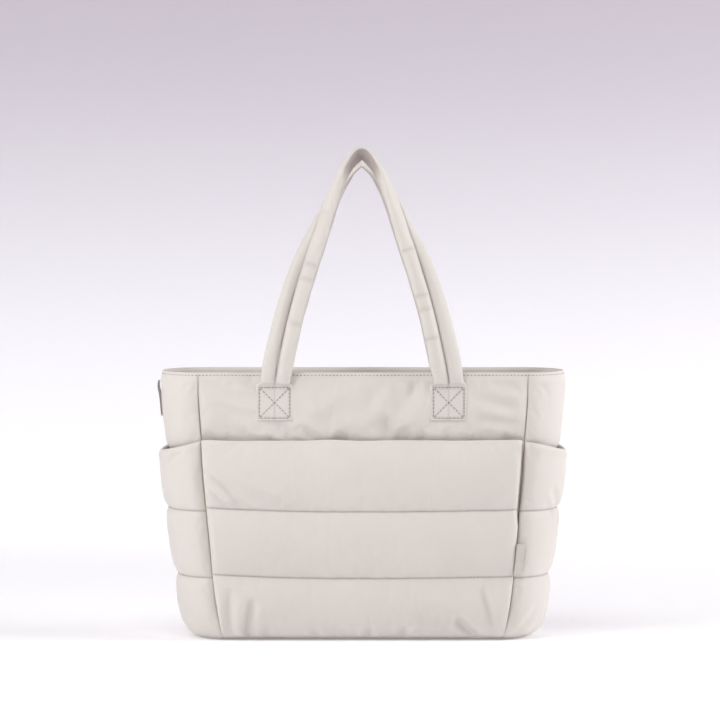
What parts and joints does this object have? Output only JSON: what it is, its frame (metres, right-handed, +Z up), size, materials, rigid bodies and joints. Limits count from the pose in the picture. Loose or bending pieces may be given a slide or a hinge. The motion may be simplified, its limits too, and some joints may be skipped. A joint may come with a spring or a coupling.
{
  "type": "puffer tote bag",
  "caption": "Padded tote bag with quilted outer pockets front and ends, an open mouth and tall twin shoulder handles of stuffed strap.",
  "frame": {"origin": "middle of the underside, on the surface that the bag stands on", "axes": "+Z up, -Y out of the front with the wide pocket, +X to the right seen from the front"},
  "size_m": [0.4443, 0.1614, 0.5369],
  "materials": {
    "shell": "padded smooth-woven nylon, soft low sheen",
    "facing": "woven nylon facing, low sheen",
    "strap": "stuffed smooth-woven nylon tube, soft low sheen",
    "tab": "folded woven tape, matt",
    "thread": "twisted sewing thread, satin"
  },
  "bodies": {
    "root": {"front_panel": "shell", "back_panel": "shell", "right_gusset": "shell", "left_gusset": "shell", "base_panel": "shell", "mouth_facing": "facing", "front_pocket": "shell", "right_side_pocket": "shell", "left_side_pocket": "shell", "front_handle": "strap", "back_handle": "strap", "label_tab": "tab", "side_tab": "tab"}
  },
  "joints": []
}
